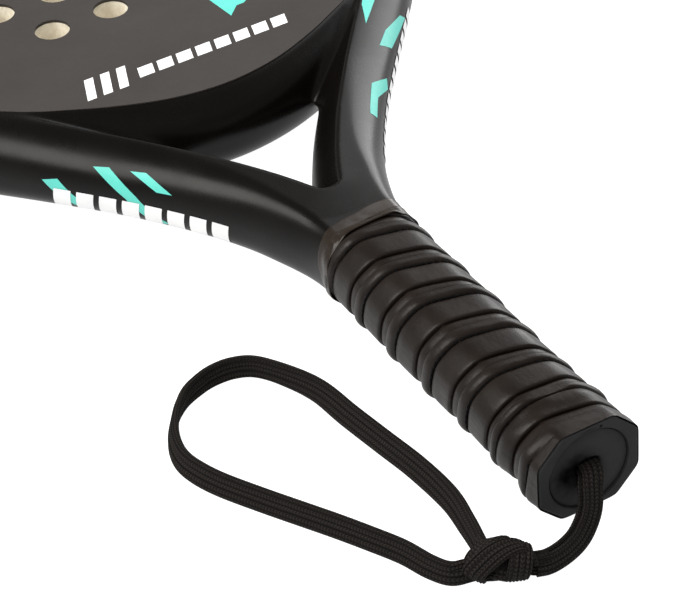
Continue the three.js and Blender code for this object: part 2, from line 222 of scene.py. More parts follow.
# Softboxes: place, width and height, power in watts and colour. Each faces the racket's middle.
SOFTBOXES = {
    "softbox_left": ((-1.25, 0.1, 1.05), (1.5, 0.7), 14, (1, 0.97, 0.92)),
    "softbox_right": ((1.75, 0.68, 0.42), (1.6, 1.2), 20, (1, 1, 1)),
    "softbox_back": ((1.05, 0.98, 1.15), (0.9, 0.7), 2.4, (1, 1, 1)),
}
FLOOR_HALF = 4.0
FLOOR_Z = -0.0003


# ---------------------------------------------------------------- curves and distances
def spline(points, steps=8):
    """A Catmull-Rom curve through the points."""
    p = np.array(points, float)
    p = np.vstack([2 * p[0] - p[1], p, 2 * p[-1] - p[-2]])
    t = np.linspace(0, 1, steps, endpoint=False)[:, None]
    out = []
    for a, b, c, d in zip(p[:-3], p[1:-2], p[2:-1], p[3:]):
        out.append(0.5 * (2 * b + (c - a) * t + (2 * a - 5 * b + 4 * c - d) * t**2
                          + (3 * b - a - 3 * c + d) * t**3))
    return np.vstack(out + [p[-2:-1]])


def bezier(points, steps=24):
    """A cubic curve from its four control points."""
    a, b, c, d = np.array(points, float)
    t = np.linspace(0, 1, steps)[:, None]
    return a * (1 - t)**3 + 3 * b * t * (1 - t)**2 + 3 * c * t**2 * (1 - t) + d * t**3


def quarter(cx, cy, rx, ry, steps=40):
    """A quarter of an ellipse, from its right end up to its top."""
    a = np.linspace(0, math.pi / 2, steps)
    return np.column_stack([cx + rx * np.cos(a), cy + ry * np.sin(a)])


def joined(*curves):
    """Curves end to end, each starting where the last one stops."""
    return np.vstack([curves[0]] + [c[1:] for c in curves[1:]])


def outer_line():
    """The right half of the racket's outline, from the handle to just past the tip of the head."""
    top = quarter(0, HEAD_WIDEST_Y, HEAD_HALF_WIDTH, LENGTH - HEAD_WIDEST_Y)
    beyond = np.array([top[-1], (-12, LENGTH - 0.5)])
    return joined(np.array(NECK_LINE, float), spline(ARM_LINE), bezier(HEAD_CURVE), top, beyond)


def face_line():
    """The right half of the playing face's outline, from the bridge to the tip."""
    top = quarter(0, HEAD_WIDEST_Y, FACE_HALF_WIDTH, FACE_TOP - HEAD_WIDEST_Y)
    beyond = np.array([top[-1], (-12, FACE_TOP - 0.5)])
    return joined(spline(BRIDGE_LINE), bezier(FACE_CURVE), top, beyond)


def signed_distance(x, y, line):
    """Distance from points to a polyline, positive on its left."""
    best = np.full(x.shape, 1e9)
    side = np.ones(x.shape)
    for (ax, ay), (bx, by) in zip(line[:-1], line[1:]):
        dx, dy = bx - ax, by - ay
        t = np.clip(((x - ax) * dx + (y - ay) * dy) / (dx * dx + dy * dy), 0, 1)
        ox, oy = x - ax - t * dx, y - ay - t * dy
        d = np.hypot(ox, oy)
        closer = d < best
        best = np.where(closer, d, best)
        side = np.where(closer, np.sign(dx * oy - dy * ox), side)
    return best * side


def half_at(y):
    """Half the frame's thickness at a distance y from the butt."""
    throat = np.interp(y, [NECK_Y, THROAT_Y, FULL_FROM], [NECK_HALF, THROAT_HALF, HALF])
    return throat - SKIN_PROUD


def smooth_max(a, b, k):
    """The larger of two values, rounded where they are within k of each other."""
    h = np.maximum(k - np.abs(a - b), 0) / k
    return np.maximum(a, b) + h * h * k / 4


def smooth_step(a, b, x):
    """Rises from 0 at a to 1 at b."""
    t = np.clip((x - a) / (b - a), 0, 1)
    return t * t * (3 - 2 * t)


def rounded_wall(beyond, z, half, reach, p, q):
    """About the depth inside a wall that starts on the top plane and bulges by `reach` at mid-height."""
    t = np.abs(z) / half
    u = np.maximum(beyond, 0) / reach
    value = 1 - t**p - u**q
    slope_z = p * t**(p - 1) / half
    slope_d = q * u**(q - 1) / reach * (beyond > 0)
    return value / np.maximum(np.hypot(slope_z, slope_d), 0.03)


# ---------------------------------------------------------------- meshes
def row(points):
    """Moves points from the racket's own frame, in millimetres, to the row frame, in metres."""
    return (np.asarray(points, float) + (0, -LENGTH / 2, HALF)) / 1000


def mesh_object(name, points, faces, slot, smooth=True, sharp=None):
    """A mesh that rides on the racket; points are in metres in the row frame."""
    mesh = bpy.data.meshes.new(name)
    mesh.from_pydata(np.asarray(points).tolist(), [], [list(f) for f in faces])
    mesh.polygons.foreach_set("use_smooth", [smooth] * len(mesh.polygons))
    mesh.validate()
    if sharp:
        mesh.set_sharp_from_angle(angle=math.radians(sharp))
    piece = bpy.data.objects.new(name, mesh)
    bpy.context.scene.collection.objects.link(piece)
    piece.data.materials.append(FINISH[slot])
    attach(piece, "root")
    return piece


def grid_faces(rows, columns, closed=True):
    """Quads between the rows of a grid of points; closed joins the last column to the first."""
    r = np.arange(rows - 1)[:, None]
    c = np.arange(columns if closed else columns - 1)[None, :]
    d = (c + 1) % columns
    a = r * columns + c
    b = r * columns + d
    return np.stack([a, b, b + columns, a + columns], -1).reshape(-1, 4)


def octagon_radius(angle, half_width, half_depth, flat_x, flat_z, round_power=22):
    """Distance from the middle of a bevelled rectangle to its softly rounded edge."""
    slope = np.array([half_depth - flat_z, half_width - flat_x])
    slope /= np.hypot(*slope)
    slant = half_width * slope[0] + flat_z * slope[1]
    c, s = np.abs(np.cos(angle)), np.abs(np.sin(angle))
    inverse = [c / half_width, s / half_depth, (c * slope[0] + s * slope[1]) / slant]
    return sum(v**round_power for v in inverse) ** (-1 / round_power)


# ---------------------------------------------------------------- frame and head
def frame_body():
    """The hoop, the arms and the bridge as one moulded skin."""
    x = np.arange(-FIELD_HALF_WIDTH, FIELD_HALF_WIDTH + 0.01, FIELD_STEP)
    y = np.arange(*FIELD_LENGTH, FIELD_STEP)
    z = np.arange(-FIELD_HALF_DEPTH, FIELD_HALF_DEPTH + 0.01, FIELD_STEP)
    gx, gy = np.meshgrid(np.abs(x), y, indexing="ij")
    outside = signed_distance(gx, gy, outer_line())[:, :, None]
    ridge = signed_distance(gx, gy, spline(RIDGE_LINE))[:, :, None]
    face = signed_distance(gx, gy, face_line())[:, :, None]
    half = half_at(gy)[:, :, None]
    round_at, round_by = np.array(OUTER_ROUND).T
    outer_round = np.interp(gy, round_at, round_by)[:, :, None]
    crown_fade = 1 - smooth_step(*CROWN_FADE, gy)
    crown = ARM_CROWN * np.clip(-ridge, 0, 16) * crown_fade[:, :, None]
    rim = rounded_wall(outer_round - outside, z, half - crown, outer_round, 2, 1.75)
    arm = rounded_wall(ridge, z, half, ARM_BULGE, 1.4, 1.0)
    bridge = rounded_wall(-face, z, half, BRIDGE_BULGE, 1.9, 1.4)
    fillet = np.interp(np.abs(z) / HALF, [0, 1], VALLEY_FILLET[::-1])
    body = np.minimum(rim, smooth_max(arm, bridge, fillet))
    body = np.minimum(body, POCKET_INSET - face)
    body = np.minimum(body, gy[:, :, None] - ARM_FROM)
    for axis in range(3):
        body = 0.5 * body + 0.25 * (np.roll(body, 1, axis) + np.roll(body, -1, axis))
    grid = openvdb.FloatGrid(FIELD_BAND)
    grid.copyFromArray(np.clip(-body, -FIELD_BAND, FIELD_BAND).astype(np.float32))
    points, _, quads = grid.convertToPolygons(0.0, 0.0)
    points = np.asarray(points) * FIELD_STEP + (x[0], y[0], z[0])
    piece = mesh_object("frame_body", row(points), np.asarray(quads), "painted_frame")
    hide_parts("frame_tube", "throat_bridge")
    return piece


def face_outline(inset):
    """The whole outline of the playing face, moved in by `inset` towards its middle."""
    half = face_line()
    half = half[half[:, 0] >= 0][:-1]
    centre = np.array([0, HEAD_WIDEST_Y])
    reach = half - centre
    half = centre + reach * (1 - inset / np.linalg.norm(reach, axis=1))[:, None]
    left = half[1:-1][::-1] * (-1, 1)
    return np.vstack([half, left])


def drilled_plate(name, inset, z0, z1, bevel, slot, node):
    """A plate of the face's outline between two heights, with all the drilled holes."""
    curve = bpy.data.curves.new(name, "CURVE")
    curve.dimensions = "2D"
    curve.fill_mode = "BOTH"
    curve.extrude = (z1 - z0) / 2 - bevel
    curve.bevel_depth = bevel
    curve.bevel_resolution = 2
    curve.offset = -bevel
    loops = [face_outline(inset)]
    turn = np.linspace(0, 2 * math.pi, HOLE_SIDES, endpoint=False)
    for hole_y, count in HOLE_ROWS:
        for i in range(count):
            hole_x = (i - (count - 1) / 2) * HOLE_PITCH
            loops.append(np.column_stack([hole_x + HOLE_RADIUS * np.cos(turn),
                                          hole_y + HOLE_RADIUS * np.sin(turn)]))
    for loop in loops:
        path = curve.splines.new("POLY")
        path.points.add(len(loop) - 1)
        flat = np.column_stack([loop, np.zeros(len(loop)), np.ones(len(loop))])
        path.points.foreach_set("co", flat.ravel())
        path.use_cyclic_u = True
    holder = bpy.data.objects.new(name, curve)
    bpy.context.scene.collection.objects.link(holder)
    filled = holder.evaluated_get(bpy.context.evaluated_depsgraph_get()).to_mesh()
    points = np.array([v.co for v in filled.vertices]) + (0, 0, (z0 + z1) / 2)
    faces = [tuple(p.vertices) for p in filled.polygons]
    bpy.data.objects.remove(holder)
    piece = mesh_object(name, row(points), faces, slot, sharp=30)
    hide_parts(node)
    return piece


# ---------------------------------------------------------------- handle
def strip_profile():
    """Height of the wound strip at fractions of its width, from its upper edge to its lower one."""
    return np.array([
        (0.000, -0.95), (0.014, -0.95), (0.028, -0.60), (0.040, -0.15), (0.058, 0.04), (0.110, 0.08),
        (0.170, 0.02), (0.200, -0.12), (0.212, -0.12), (0.222, 0.10), (0.230, 0.58), (0.240, 0.92),
        (0.262, 1.14), (0.300, 1.26), (0.340, 1.28), (0.375, 1.20), (0.402, 1.02), (0.422, 0.74),
        (0.436, 0.32), (0.446, -0.20), (0.458, -0.55), (0.470, -0.20), (0.480, 0.15), (0.500, 0.36),
        (0.540, 0.50), (0.620, 0.56), (0.720, 0.60), (0.820, 0.63), (0.900, 0.66), (0.950, 0.66),
        (0.975, 0.58), (0.990, 0.32), (0.996, -0.10),
    ])


def grip_radius(angle, y):
    """The handle under the leather: its octagon flares a little at the butt."""
    flare = 1 - smooth_step(1, 13, y)
    return (octagon_radius(angle, round_power=12, **GRIP) * (1 - flare)
            + octagon_radius(angle, round_power=36, **GRIP_BUTT) * flare)


def strip_edge(turn):
    """Where the strip's lower edge lies at a turn, with the steps between the known places eased."""
    known, y = np.array(STRIP_EDGE).T
    wide = np.linspace(-0.09, 0.09, 7)
    return np.mean([np.interp(turn + w, known, y) for w in wide], axis=0)


def strip_height(turn, part, height, y):
    """The strip's height with its seam drawn in by each stitch, its slack and its folds at the butt."""
    angle = 2 * math.pi * turn
    stitch = smooth_step(-0.4, 0.6, np.cos(2 * math.pi * turn * TURN_LENGTH / STITCH_PITCH))
    near_seam = np.exp(-((part - STITCH_PART) / 0.016) ** 2)
    ribbed = np.where((part > 0.21) & (part < 0.47), smooth_step(-0.66, -0.56, turn), 1)
    slack = 0.16 * np.sin(2.3 * angle + 1.1) + 0.12 * np.sin(5.1 * angle + 0.4)
    creased = 1 - smooth_step(14, 40, y)
    fold = creased * (0.7 + 0.55 * np.sin(3.1 * angle + 6 * part))
    return (height - 0.4 * near_seam * stitch) * ribbed + (slack + fold) * np.sin(math.pi * part)


def grip_wrap():
    """One strip of ribbed leather wound round the handle, its ribs stitched along their lower side."""
    turn = np.arange(*STRIP_TURNS, 1 / STRIP_STEPS)[:, None]
    part, height = strip_profile().T[:, None, :]
    upper, lower = strip_edge(turn + 1), strip_edge(turn)
    y = upper - part * (upper - lower)
    angle = 2 * math.pi * turn
    ends = (1 - smooth_step(127, 134, y)) * smooth_step(1, 9, y)
    offset = strip_height(turn, part, height, y) * ends
    y = np.clip(y, GRIP_FROM, GRIP_TO)
    radius = np.minimum(grip_radius(angle, y) + offset, octagon_radius(angle, **GRIP_LIMIT))
    radius = np.maximum(radius, octagon_radius(angle, round_power=60, **PALLET) + 0.25)
    points = np.stack([radius * np.cos(angle), y, radius * np.sin(angle)], -1)
    rows, columns = points.shape[:2]
    r = np.arange(rows - 1 - STRIP_STEPS)
    over = (r + STRIP_STEPS) * columns + columns - 1
    under = r * columns
    overlap = np.stack([over, under, under + columns, over + columns], -1)
    faces = np.vstack([grid_faces(rows, columns, closed=False), overlap])
    points = points.reshape(-1, 3)
    spread = np.ptp(points[faces][:, :, 1], axis=1)
    faces = faces[spread > 1e-5][:, ::-1]
    piece = mesh_object("grip_leather", row(points), faces, "grip_leather", sharp=55)
    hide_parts("grip_wrap")
    return piece


def grip_stitches():
    """Short dark stitches that lie in the groove below each rib."""
    parts, faces = [], []
    ball = np.linspace(-1, 1, 6)
    around = np.linspace(0, 2 * math.pi, 8, endpoint=False)
    for turn in np.arange(*STITCH_TURNS, STITCH_PITCH / TURN_LENGTH):
        upper, lower = strip_edge(turn + 1), strip_edge(turn)
        slope = (strip_edge(turn + 0.01) - lower) / (0.01 * TURN_LENGTH)
        y = upper - STITCH_PART * (upper - lower)
        a = 2 * math.pi * turn
        middle = float(grip_radius(a, y)) + 0.1
        along_it = np.array([-math.sin(a), float(slope), math.cos(a)])
        out = np.array([math.cos(a), 0, math.sin(a)])
        sideways = np.cross(along_it, out)
        for k in ball:
            swell = 0.4 * math.sqrt(max(0, 1 - k**4)) + 0.02
            centre = middle * out + (0, float(y), 0) + along_it * k * 0.95
            parts.append([centre + swell * (math.cos(b) * out + math.sin(b) * sideways) for b in around])
        base = (len(parts) - len(ball)) * len(around)
        faces += (grid_faces(len(ball), len(around)) + base).tolist()
    piece = mesh_object("grip_stitching", row(np.vstack(parts)), faces, "grip_leather")
    piece.data.materials[0] = THREAD
    return piece


def tape_radius(a, y, part, neck):
    """The tape's outside: over the leather at its lower end and over the neck above, in two layers."""
    leather = float(octagon_radius(a, **GRIP)) + LEATHER_THICK
    blend = float(smooth_step(127.5, 131.5, y))
    radius = max(neck, leather * (1 - blend) + neck * blend) + TAPE_THICK
    wrinkle = 0.05 * math.sin(5 * a + 0.5 * y) + 0.03 * math.sin(13 * a - 0.9 * y)
    layer = TAPE_LAYER * float(smooth_step(0.52, 0.49, part + 0.05 * math.sin(a)))
    return radius + wrinkle * math.sin(math.pi * part) + layer


def finishing_tape(body):
    """Glossy tape stretched over the end of the grip and the neck of the frame."""
    tree = BVHTree.FromObject(body, bpy.context.evaluated_depsgraph_get())
    columns, rows = 180, 40
    points = []
    for k in range(rows):
        part = k / (rows - 1)
        tuck = 0.30 * max(0, 1 - min(k, rows - 1 - k))
        for a in np.linspace(0, 2 * math.pi, columns, endpoint=False):
            upper = TAPE_TO + TAPE_SLANT * math.cos(a - 0.9) + 0.25 * math.sin(7 * a)
            lower = TAPE_FROM + 0.9 * math.cos(a - 0.4)
            y = lower + (upper - lower) * part
            out = Vector((math.cos(a), 0, math.sin(a)))
            start = Vector(row((0, y, 0)).tolist())
            hit = tree.ray_cast(start + out * 0.06, -out)[0] if y > ARM_FROM + 0.6 else None
            neck = (hit - start).length * 1000 if hit else 0
            radius = tape_radius(a, y, part, neck) - tuck
            points.append((radius * math.cos(a), y, radius * math.sin(a)))
    faces = grid_faces(rows, columns)[:, ::-1]
    piece = mesh_object("finishing_wrap", row(points), faces, "finishing_tape")
    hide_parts("finishing_tape")
    return piece


def gate_mark():
    """A flat black disc for the small pit that moulding leaves on the cap's plate: the pit's shade is
    painted.
    """
    a = np.linspace(0, 2 * math.pi, 16, endpoint=False)
    x = GATE_MARK_AT[0] + GATE_MARK_RADIUS * np.cos(a)
    z = GATE_MARK_AT[1] + GATE_MARK_RADIUS * np.sin(a)
    ring = np.column_stack([x, np.full(16, -0.1), z])
    piece = mesh_object("cap_gate_mark", row(ring), [list(range(16))], "cap_plastic", smooth=False)
    piece.data.materials[0] = THREAD


def butt_cap():
    """The end of the handle: an eight-sided plate with a sunk disc and a hole for the cord."""
    columns = 192
    a = np.linspace(0, 2 * math.pi, columns, endpoint=False)
    edge = octagon_radius(a, round_power=60, **CAP) - CAP_GAP
    hole = ((np.abs(np.cos(a)) / CORD_HOLE[0])**3 + (np.abs(np.sin(a)) / CORD_HOLE[1])**3) ** (-1 / 3)
    disc = np.full(columns, CAP_DISC_RADIUS)
    sunk = CAP_DISC_DEPTH
    rings = [
        (hole, CAP_PLATE), (hole, sunk + 0.9), (hole + 0.15, sunk + 0.45), (hole + 0.6, sunk + 0.1),
        (hole + 1.4, sunk), (hole * 0.5 + disc * 0.5, sunk), (disc - 0.75, sunk), (disc - 0.6, sunk + 0.1),
        (disc - 0.5, sunk + 0.6), (disc - 0.1, sunk + 0.6), (disc, 0.16), (disc + 0.12, 0.03),
        (disc + 0.3, 0.0), (edge * 0.55 + disc * 0.45, 0.0), (edge - 0.75, 0.0), (edge - 0.45, 0.06),
        (edge - 0.2, 0.22), (edge - 0.06, 0.5), (edge, 0.9), (edge, 2.4), (edge - 0.1, CAP_PLATE),
        (edge - 2, CAP_PLATE),
    ]
    points = [np.column_stack([r * np.cos(a), np.full(columns, y), r * np.sin(a)]) for r, y in rings]
    faces = grid_faces(len(rings), columns)[:, ::-1]
    piece = mesh_object("cap_plate", row(np.vstack(points)), faces, "cap_plastic", sharp=40)
    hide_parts("butt_cap")
    return piece


# ---------------------------------------------------------------- wrist cord
def along(route, step):
    """Points every `step` along a smooth curve through the route."""
    fine = spline(route, 24)
    length = np.concatenate([[0], np.cumsum(np.linalg.norm(np.diff(fine, axis=0), axis=1))])
    at = np.linspace(0, length[-1], max(2, round(length[-1] / step)))
    return np.column_stack([np.interp(at, length, fine[:, i]) for i in range(3)]), at


def strip_section(width, thick, ribs):
    """The outline of a flat braid: two faces of lengthwise ribs that close in round edges."""
    u = np.sin(np.linspace(-math.pi / 2, math.pi / 2, ribs * 7 + 1))
    rib = np.abs(np.cos(math.pi * ribs * (u + 1) / 2 + math.pi / 2))
    body = (1 - np.abs(u) ** 5) ** 0.5
    rise = (thick / 2) * body * (0.62 + 0.38 * rib**0.7)
    across = u * width / 2
    upper = np.column_stack([across, rise])
    lower = np.column_stack([across, -rise])[::-1][1:-1]
    return np.vstack([upper, lower])


def ribbon(line, across, section):
    """Rings of the section along the line, with its width along `across`."""
    tangent = np.gradient(line, axis=0)
    tangent /= np.linalg.norm(tangent, axis=1)[:, None]
    across = across - (across * tangent).sum(1)[:, None] * tangent
    across /= np.linalg.norm(across, axis=1)[:, None]
    normal = np.cross(tangent, across)
    return (line[:, None, :] + section[None, :, :1] * across[:, None, :]
            + section[None, :, 1:] * normal[:, None, :])


def blended(at, marks):
    """Directions given at fractions of the length, smoothly blended between."""
    where = np.array([m[0] for m in marks]) * at[-1]
    vectors = np.array([m[1] for m in marks], float)
    return np.column_stack([np.interp(at, where, vectors[:, i]) for i in range(3)])


def capped(rings, offset=0):
    """The points and faces of a closed tube; `offset` is the number of points that come before it."""
    rows, columns = rings.shape[:2]
    faces = grid_faces(rows, columns)[:, ::-1].tolist()
    faces.append(list(range(columns)))
    faces.append(list(range((rows - 1) * columns, rows * columns))[::-1])
    return rings.reshape(-1, 3), [[i + offset for i in f] for f in faces]


def add_braid_map(piece, columns, step, width):
    """A map in millimetres, u along the cord and v round it, for the braid."""
    layer = piece.data.uv_layers.new(name="braid")
    index = np.array([loop.vertex_index for loop in piece.data.loops])
    ring, place = index // columns, index % columns
    uv = np.column_stack([ring * step, place * (2 * width / columns)])
    layer.data.foreach_set("uv", uv.ravel())


def cord_loop():
    """The loop of the wrist cord, which lies on its side on the floor."""
    line, at = along(LOOP_ROUTE, LOOP_STEP / 1000)
    up = blended(at, [
        (0, (0.2, 0.1, 0.95)), (0.06, (0.5, 0, 0.85)), (0.14, (0.8, 0, 0.6)), (0.3, (0.8, 0.05, 0.6)),
        (0.4, (0.15, 0.2, 1)), (0.46, (0, 0.25, 0.95)), (0.56, (0.3, 0, 0.9)), (0.66, (0.5, 0.2, 0.8)),
        (0.94, (0.4, 0.25, 0.85)), (1, (0.1, 0.3, 0.9)),
    ])
    section = strip_section(CORD_WIDTH, CORD_THICK, CORD_RIBS) / 1000
    points, faces = capped(ribbon(line, up, section))
    piece = mesh_object("wrist_cord_loop", points, faces, "cord_braid")
    add_braid_map(piece, len(section), LOOP_STEP, CORD_WIDTH)
    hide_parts("cord_loop")
    return piece, line, at


def cord_lead():
    """Both ends of the braid, one on the other, from the stop knot to the loop's knot."""
    line, at = along(LEAD_ROUTE, LEAD_STEP / 1000)
    across = blended(at, [
        (0, (1, 0, 0)), (0.42, (1, 0, -0.1)), (0.6, (0.75, -0.1, -0.6)), (0.78, (0.2, -0.3, -0.9)),
        (1, (0, -0.35, -0.9)),
    ])
    section = strip_section(LEAD_WIDTH, LEAD_THICK, CORD_RIBS - 1) / 1000
    points, faces = [], []
    for side in (-1, 1):
        shifted = section + (0.0003 * side, side * LEAD_THICK * 0.52 / 1000)
        more, made = capped(ribbon(line, across, shifted), sum(len(p) for p in points))
        points.append(more)
        faces += made
    piece = mesh_object("wrist_cord_lead", np.vstack(points), faces, "cord_braid")
    add_braid_map(piece, len(section), LEAD_STEP, LEAD_WIDTH)
    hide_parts("cord_lead")
    return piece, line, at


def cord_knot():
    """The braid tied round itself: two strands and the lead go in, and three bands cross over them."""
    section = strip_section(*KNOT_BRAID, CORD_RIBS)
    strand = strip_section(CORD_WIDTH, CORD_THICK, CORD_RIBS)
    lead = strip_section(LEAD_WIDTH, 2 * LEAD_THICK, CORD_RIBS - 1)
    c, s = math.cos(KNOT_TURN), math.sin(KNOT_TURN)
    parts, faces = [], []

    def add(rings):
        """Closes a tube of rings and adds it to the knot."""
        points, made = capped(rings, sum(len(p) for p in parts))
        parts.append(points)
        faces.extend(made)

    def strand_in(route, across, shape):
        """A strand that runs into the knot, its width along the given directions."""
        line, at = along(route, KNOT_STEP)
        add(ribbon(line, blended(at, across), shape))

    def band_over(route):
        """A ribbon that lies flat on the knot's body."""
        line, _ = along(route, KNOT_STEP)
        out = line * (0.25, 1, 1)
        out /= np.linalg.norm(out, axis=1)[:, None]
        add(ribbon(line, np.cross(np.gradient(line, axis=0), out), section))

    def local(x, y, z):
        """A point of the row frame, in the knot's own frame."""
        x, y, z = 1000 * x - KNOT_AT[0], 1000 * y - KNOT_AT[1], 1000 * z - KNOT_AT[2]
        return x * c + y * s, y * c - x * s, z

    strand_in([local(*LOOP_ROUTE[1]), local(*LOOP_ROUTE[0]), (-4.6, -0.8, -0.4), (-2.4, -3.0, 0.2),
               (1, -3.2, -0.6)],
              [(0, (0.12, 0.2, 0.95)), (0.5, (0.2, 0.5, 0.85)), (1, (0, 0.8, 0.6))], strand)
    strand_in([local(*LOOP_ROUTE[-2]), local(*LOOP_ROUTE[-1]), (-6.6, -2.4, -1.5), (-3, -1.8, -1.4),
               (1, -1, -1)],
              [(0, (0, 0.15, 1)), (0.6, (0, 0.35, 0.9)), (1, (0, 0.8, 0.5))], strand)
    for route in KNOT_BANDS:
        band_over(route)
    strand_in([local(*LEAD_ROUTE[-2]), local(*LEAD_ROUTE[-1]), (5.0, 0, -0.6), (1.0, -0.4, -0.6)],
              [(0, (0, -0.35, -0.9)), (1, (0, -0.3, -0.95))], lead)
    around = np.linspace(0, 2 * math.pi, 40, endpoint=False)
    add(np.array([
        [(-2.4 - 7.6 * math.cos(t), 4.9 * math.sin(t) * math.cos(a), 4.6 * math.sin(t) * math.sin(a))
         for a in around] for t in np.linspace(0.15, math.pi - 0.15, 20)]))
    points = np.vstack(parts)
    x, y = points[:, 0] * c - points[:, 1] * s, points[:, 0] * s + points[:, 1] * c
    points = np.column_stack([x, y, points[:, 2]]) + KNOT_AT
    piece = mesh_object("wrist_cord_knot", points / 1000, faces, "cord_braid")
    add_braid_map(piece, len(section), KNOT_STEP, KNOT_BRAID[0])
    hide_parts("cord_knot")
    return piece


# ---------------------------------------------------------------- printed shapes
def patch(corners, u_steps, v_steps):
    """A grid of (u, v) points inside four corners."""
    a, b, c, d = np.array(corners, float)
    u = np.linspace(0, 1, u_steps)[None, :, None]
    v = np.linspace(0, 1, v_steps)[:, None, None]
    return (a * (1 - u) * (1 - v) + b * u * (1 - v) + c * u * v + d * (1 - u) * v).reshape(-1, 2)


def face_print(name, shapes, ink):
    """Flat printed shapes on the playing face; each is four (x, y) corners."""
    points, faces = [], []
    for corners in shapes:
        faces.append([len(points) + i for i in range(4)])
        points += [(x, y, HALF + FACE_INK_PROUD) for x, y in corners]
    piece = mesh_object(name, row(points), faces, "face_laminate", smooth=False)
    piece.data.materials[0] = ink
    return piece


def arm_print(name, body, side, shapes, ink, proud):
    """Printed shapes on an arm. Each is four corners: distance along the arm, angle above the side."""
    tree = BVHTree.FromObject(body, bpy.context.evaluated_depsgraph_get())
    line = outer_line()
    length = np.concatenate([[0], np.cumsum(np.linalg.norm(np.diff(line, axis=0), axis=1))])
    across = 14
    points, faces = [], []

    def at(run):
        """The point of the racket's outline at a distance along it."""
        return np.array([np.interp(run, length, line[:, i]) for i in range(2)])

    for corners in shapes:
        base = len(points)
        for run, lift in patch(corners, across, across):
            tangent = at(run + 1) - at(run)
            tangent /= np.linalg.norm(tangent)
            out = np.array([tangent[1], -tangent[0]])
            centre = at(run) - ARM_MIDDLE * out
            angle = math.radians(lift)
            ray = Vector((side * out[0] * math.cos(angle), out[1] * math.cos(angle), math.sin(angle)))
            start = Vector(row((side * centre[0], centre[1], 0)).tolist())
            hit = tree.ray_cast(start + ray * 0.05, -ray)[0]
            points.append(tuple(hit + ray * proud / 1000))
        faces += (grid_faces(across, across, closed=False)[:, ::side] + base).tolist()
    piece = mesh_object(name, points, faces, "painted_frame")
    piece.data.materials[0] = ink
    return piece


def bars(start, count, width, gap, lift, lean):
    """A row of slanted bars: each rises by `lift` and leans by `lean`."""
    out = []
    for i in range(count):
        u, v = start[0] + i * (width + gap), start[1]
        out.append([(u, v), (u + width, v), (u + width + lean, v + lift), (u + lean, v + lift)])
    return out


# ---------------------------------------------------------------- materials
class Look:
    """A Principled material and the nodes that feed it."""

    def __init__(self, name, color, roughness, **values):
        self.material = bpy.data.materials.new(name)
        self.material.use_nodes = True
        self.tree = self.material.node_tree
        self.shader = self.tree.nodes["Principled BSDF"]
        self.set("Base Color", (*color, 1))
        self.set("Roughness", roughness)
        for key, value in values.items():
            self.set(key.replace("_", " "), value)
        self.space = self.tree.nodes.new("ShaderNodeTexCoord")

    def set(self, socket, value):
        self.shader.inputs[socket].default_value = value

    def link(self, a, b):
        self.tree.links.new(a, b)

    def noise(self, scale, detail, stretch=(1, 1, 1)):
        """Cloudy noise with `scale` features to the metre, stretched along the axes."""
        mapping = self.tree.nodes.new("ShaderNodeMapping")
        mapping.inputs["Scale"].default_value = stretch
        self.link(self.space.outputs["Object"], mapping.inputs["Vector"])
        node = self.tree.nodes.new("ShaderNodeTexNoise")
        node.inputs["Scale"].default_value = scale
        node.inputs["Detail"].default_value = detail
        node.inputs["Roughness"].default_value = 0.6
        self.link(mapping.outputs["Vector"], node.inputs["Vector"])
        return node.outputs["Fac"]

    def cells(self, scale):
        """Distance to the edges of small cells."""
        node = self.tree.nodes.new("ShaderNodeTexVoronoi")
        node.feature = "DISTANCE_TO_EDGE"
        node.inputs["Scale"].default_value = scale
        self.link(self.space.outputs["Object"], node.inputs["Vector"])
        return node.outputs["Distance"]

    def between(self, value, low, high, from_low=0.3, from_high=0.7):
        """Maps a value to a number between low and high."""
        node = self.tree.nodes.new("ShaderNodeMapRange")
        span = {"From Min": from_low, "From Max": from_high, "To Min": low, "To Max": high}
        for key, number in span.items():
            node.inputs[key].default_value = number
        self.link(value, node.inputs["Value"])
        return node.outputs["Result"]

    def tint(self, value, stops):
        """Colours a value by (position, colour) stops."""
        node = self.tree.nodes.new("ShaderNodeValToRGB")
        ramp = node.color_ramp
        for (position, color), element in zip(stops, ramp.elements):
            element.position = position
            element.color = (*color, 1)
        for position, color in stops[2:]:
            ramp.elements.new(position).color = (*color, 1)
        self.link(value, node.inputs["Fac"])
        self.link(node.outputs["Color"], self.shader.inputs["Base Color"])

    def rough(self, value, low, high):
        self.link(self.between(value, low, high), self.shader.inputs["Roughness"])

    def bump(self, layers):
        """Stacks (value, depth in metres) bumps."""
        normal = None
        for value, depth in layers:
            node = self.tree.nodes.new("ShaderNodeBump")
            node.inputs["Strength"].default_value = 1.0
            node.inputs["Distance"].default_value = depth
            self.link(value, node.inputs["Height"])
            if normal:
                self.link(normal, node.inputs["Normal"])
            normal = node.outputs["Normal"]
        self.link(normal, self.shader.inputs["Normal"])


def painted_frame():
    """Satin black lacquer, very slightly wavy."""
    look = Look("satin_black_lacquer", (0.002, 0.0018, 0.0016), 0.28, Specular_IOR_Level=0.32)
    look.tint(look.noise(22, 3), [(0.3, (0.0020, 0.0015, 0.0012)), (0.7, (0.0028, 0.0022, 0.0017))])
    look.rough(look.noise(60, 5), 0.24, 0.32)
    look.bump([(look.noise(900, 3), 0.000004), (look.noise(14, 2), 0.00005)])
    return look.material


def face_laminate():
    """Matt, finely textured charcoal lacquer."""
    look = Look("matt_charcoal_lacquer", (0.035, 0.034, 0.033), 0.62, Specular_IOR_Level=0.35)
    look.tint(look.noise(30, 4), [(0.3, (0.033, 0.0285, 0.0260)), (0.7, (0.039, 0.0340, 0.0310))])
    look.rough(look.noise(90, 5), 0.56, 0.7)
    look.bump([(look.noise(1400, 4), 0.00003)])
    return look.material


